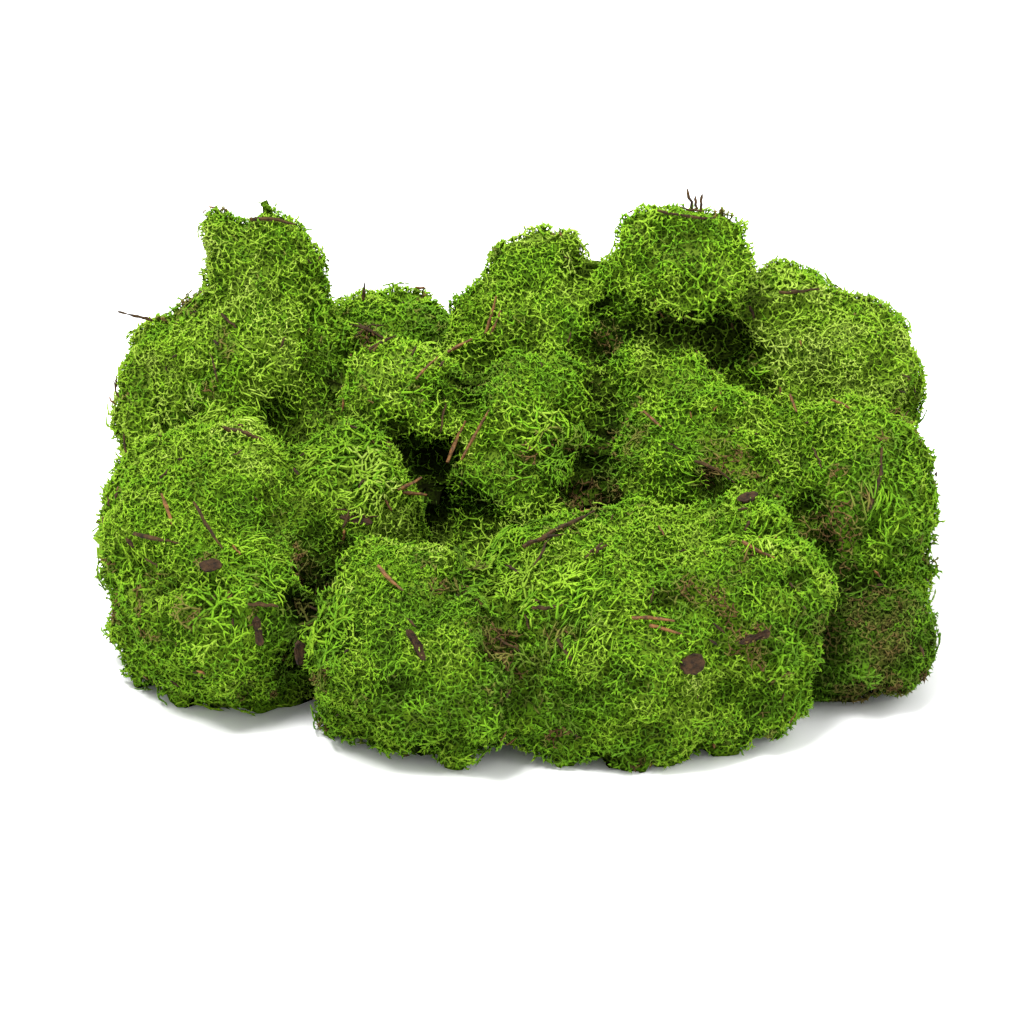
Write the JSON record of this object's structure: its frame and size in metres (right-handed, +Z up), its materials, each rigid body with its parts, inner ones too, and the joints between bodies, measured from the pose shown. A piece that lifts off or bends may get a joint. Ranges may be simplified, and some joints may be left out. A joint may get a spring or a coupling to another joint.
{
  "type": "reindeer moss clump",
  "caption": "A heaped clump of bright green reindeer moss: lacy cushion tufts pressed together on a flat-cut base, with pine needles, twigs and bark flakes caught in it.",
  "frame": {"origin": "centre of the clump's footprint, on the surface that it rests on", "axes": "+X to the right, +Y to the back, +Z up; the front, low side faces -Y"},
  "size_m": [0.326, 0.2906, 0.1577],
  "materials": {
    "moss": "matt lace of soft forked branchlets, mid green with yellow-green tips",
    "moss_light": "matt lace of soft forked branchlets, bright yellow-green",
    "moss_shaded": "matt lace of soft forked branchlets, deeper green with olive and brown roots",
    "needle": "dry orange-brown pine needle, faint sheen along its length",
    "twig": "dry rough dark brown twig",
    "bark": "rough layered dark brown bark"
  },
  "bodies": {
    "root": {"tuft_ball": "moss_light", "tuft_bright": "moss_light", "tuft_crown": "moss", "tuft_front_right": "moss", "tuft_front_left": "moss", "tuft_left_front": "moss", "tuft_left_tall": "moss_light", "tuft_right_back": "moss", "tuft_middle_right": "moss", "tuft_centre": "moss", "tuft_right_front": "moss", "tuft_middle_left": "moss", "tuft_right_low": "moss_shaded", "tuft_back_left": "moss_shaded", "tuft_back_right": "moss_shaded", "tuft_back": "moss_shaded", "needle_centre_a": "needle", "needle_centre_b": "needle", "needle_bright": "needle", "needle_dark": "needle", "needle_long_a": "needle", "needle_long_b": "needle", "needle_fork_a": "needle", "needle_fork_b": "needle", "needle_left": "needle", "needle_front": "needle", "needle_middle": "needle", "needle_right_a": "needle", "needle_right_b": "needle", "needle_right_c": "needle", "needle_right_low": "needle", "needle_low_a": "needle", "needle_low_b": "needle", "twig_peak": "twig", "twig_crease": "twig", "twig_left": "twig", "twig_left_long": "twig", "twig_left_low": "twig", "twig_root_a": "twig", "twig_root_b": "twig", "twig_fork_a": "twig", "twig_fork_b": "twig", "twig_curved": "twig", "twig_middle": "twig", "twig_right": "twig", "twig_right_top": "twig", "twig_ball": "twig", "twig_front_a": "twig", "twig_front_b": "twig", "bark_low": "bark", "bark_flake": "bark", "bark_front": "bark", "bark_middle": "bark", "bark_brown": "bark", "bark_right": "bark", "bark_low_right": "bark", "bark_round": "bark", "stem_back": "twig", "stem_side": "twig"}
  },
  "joints": []
}
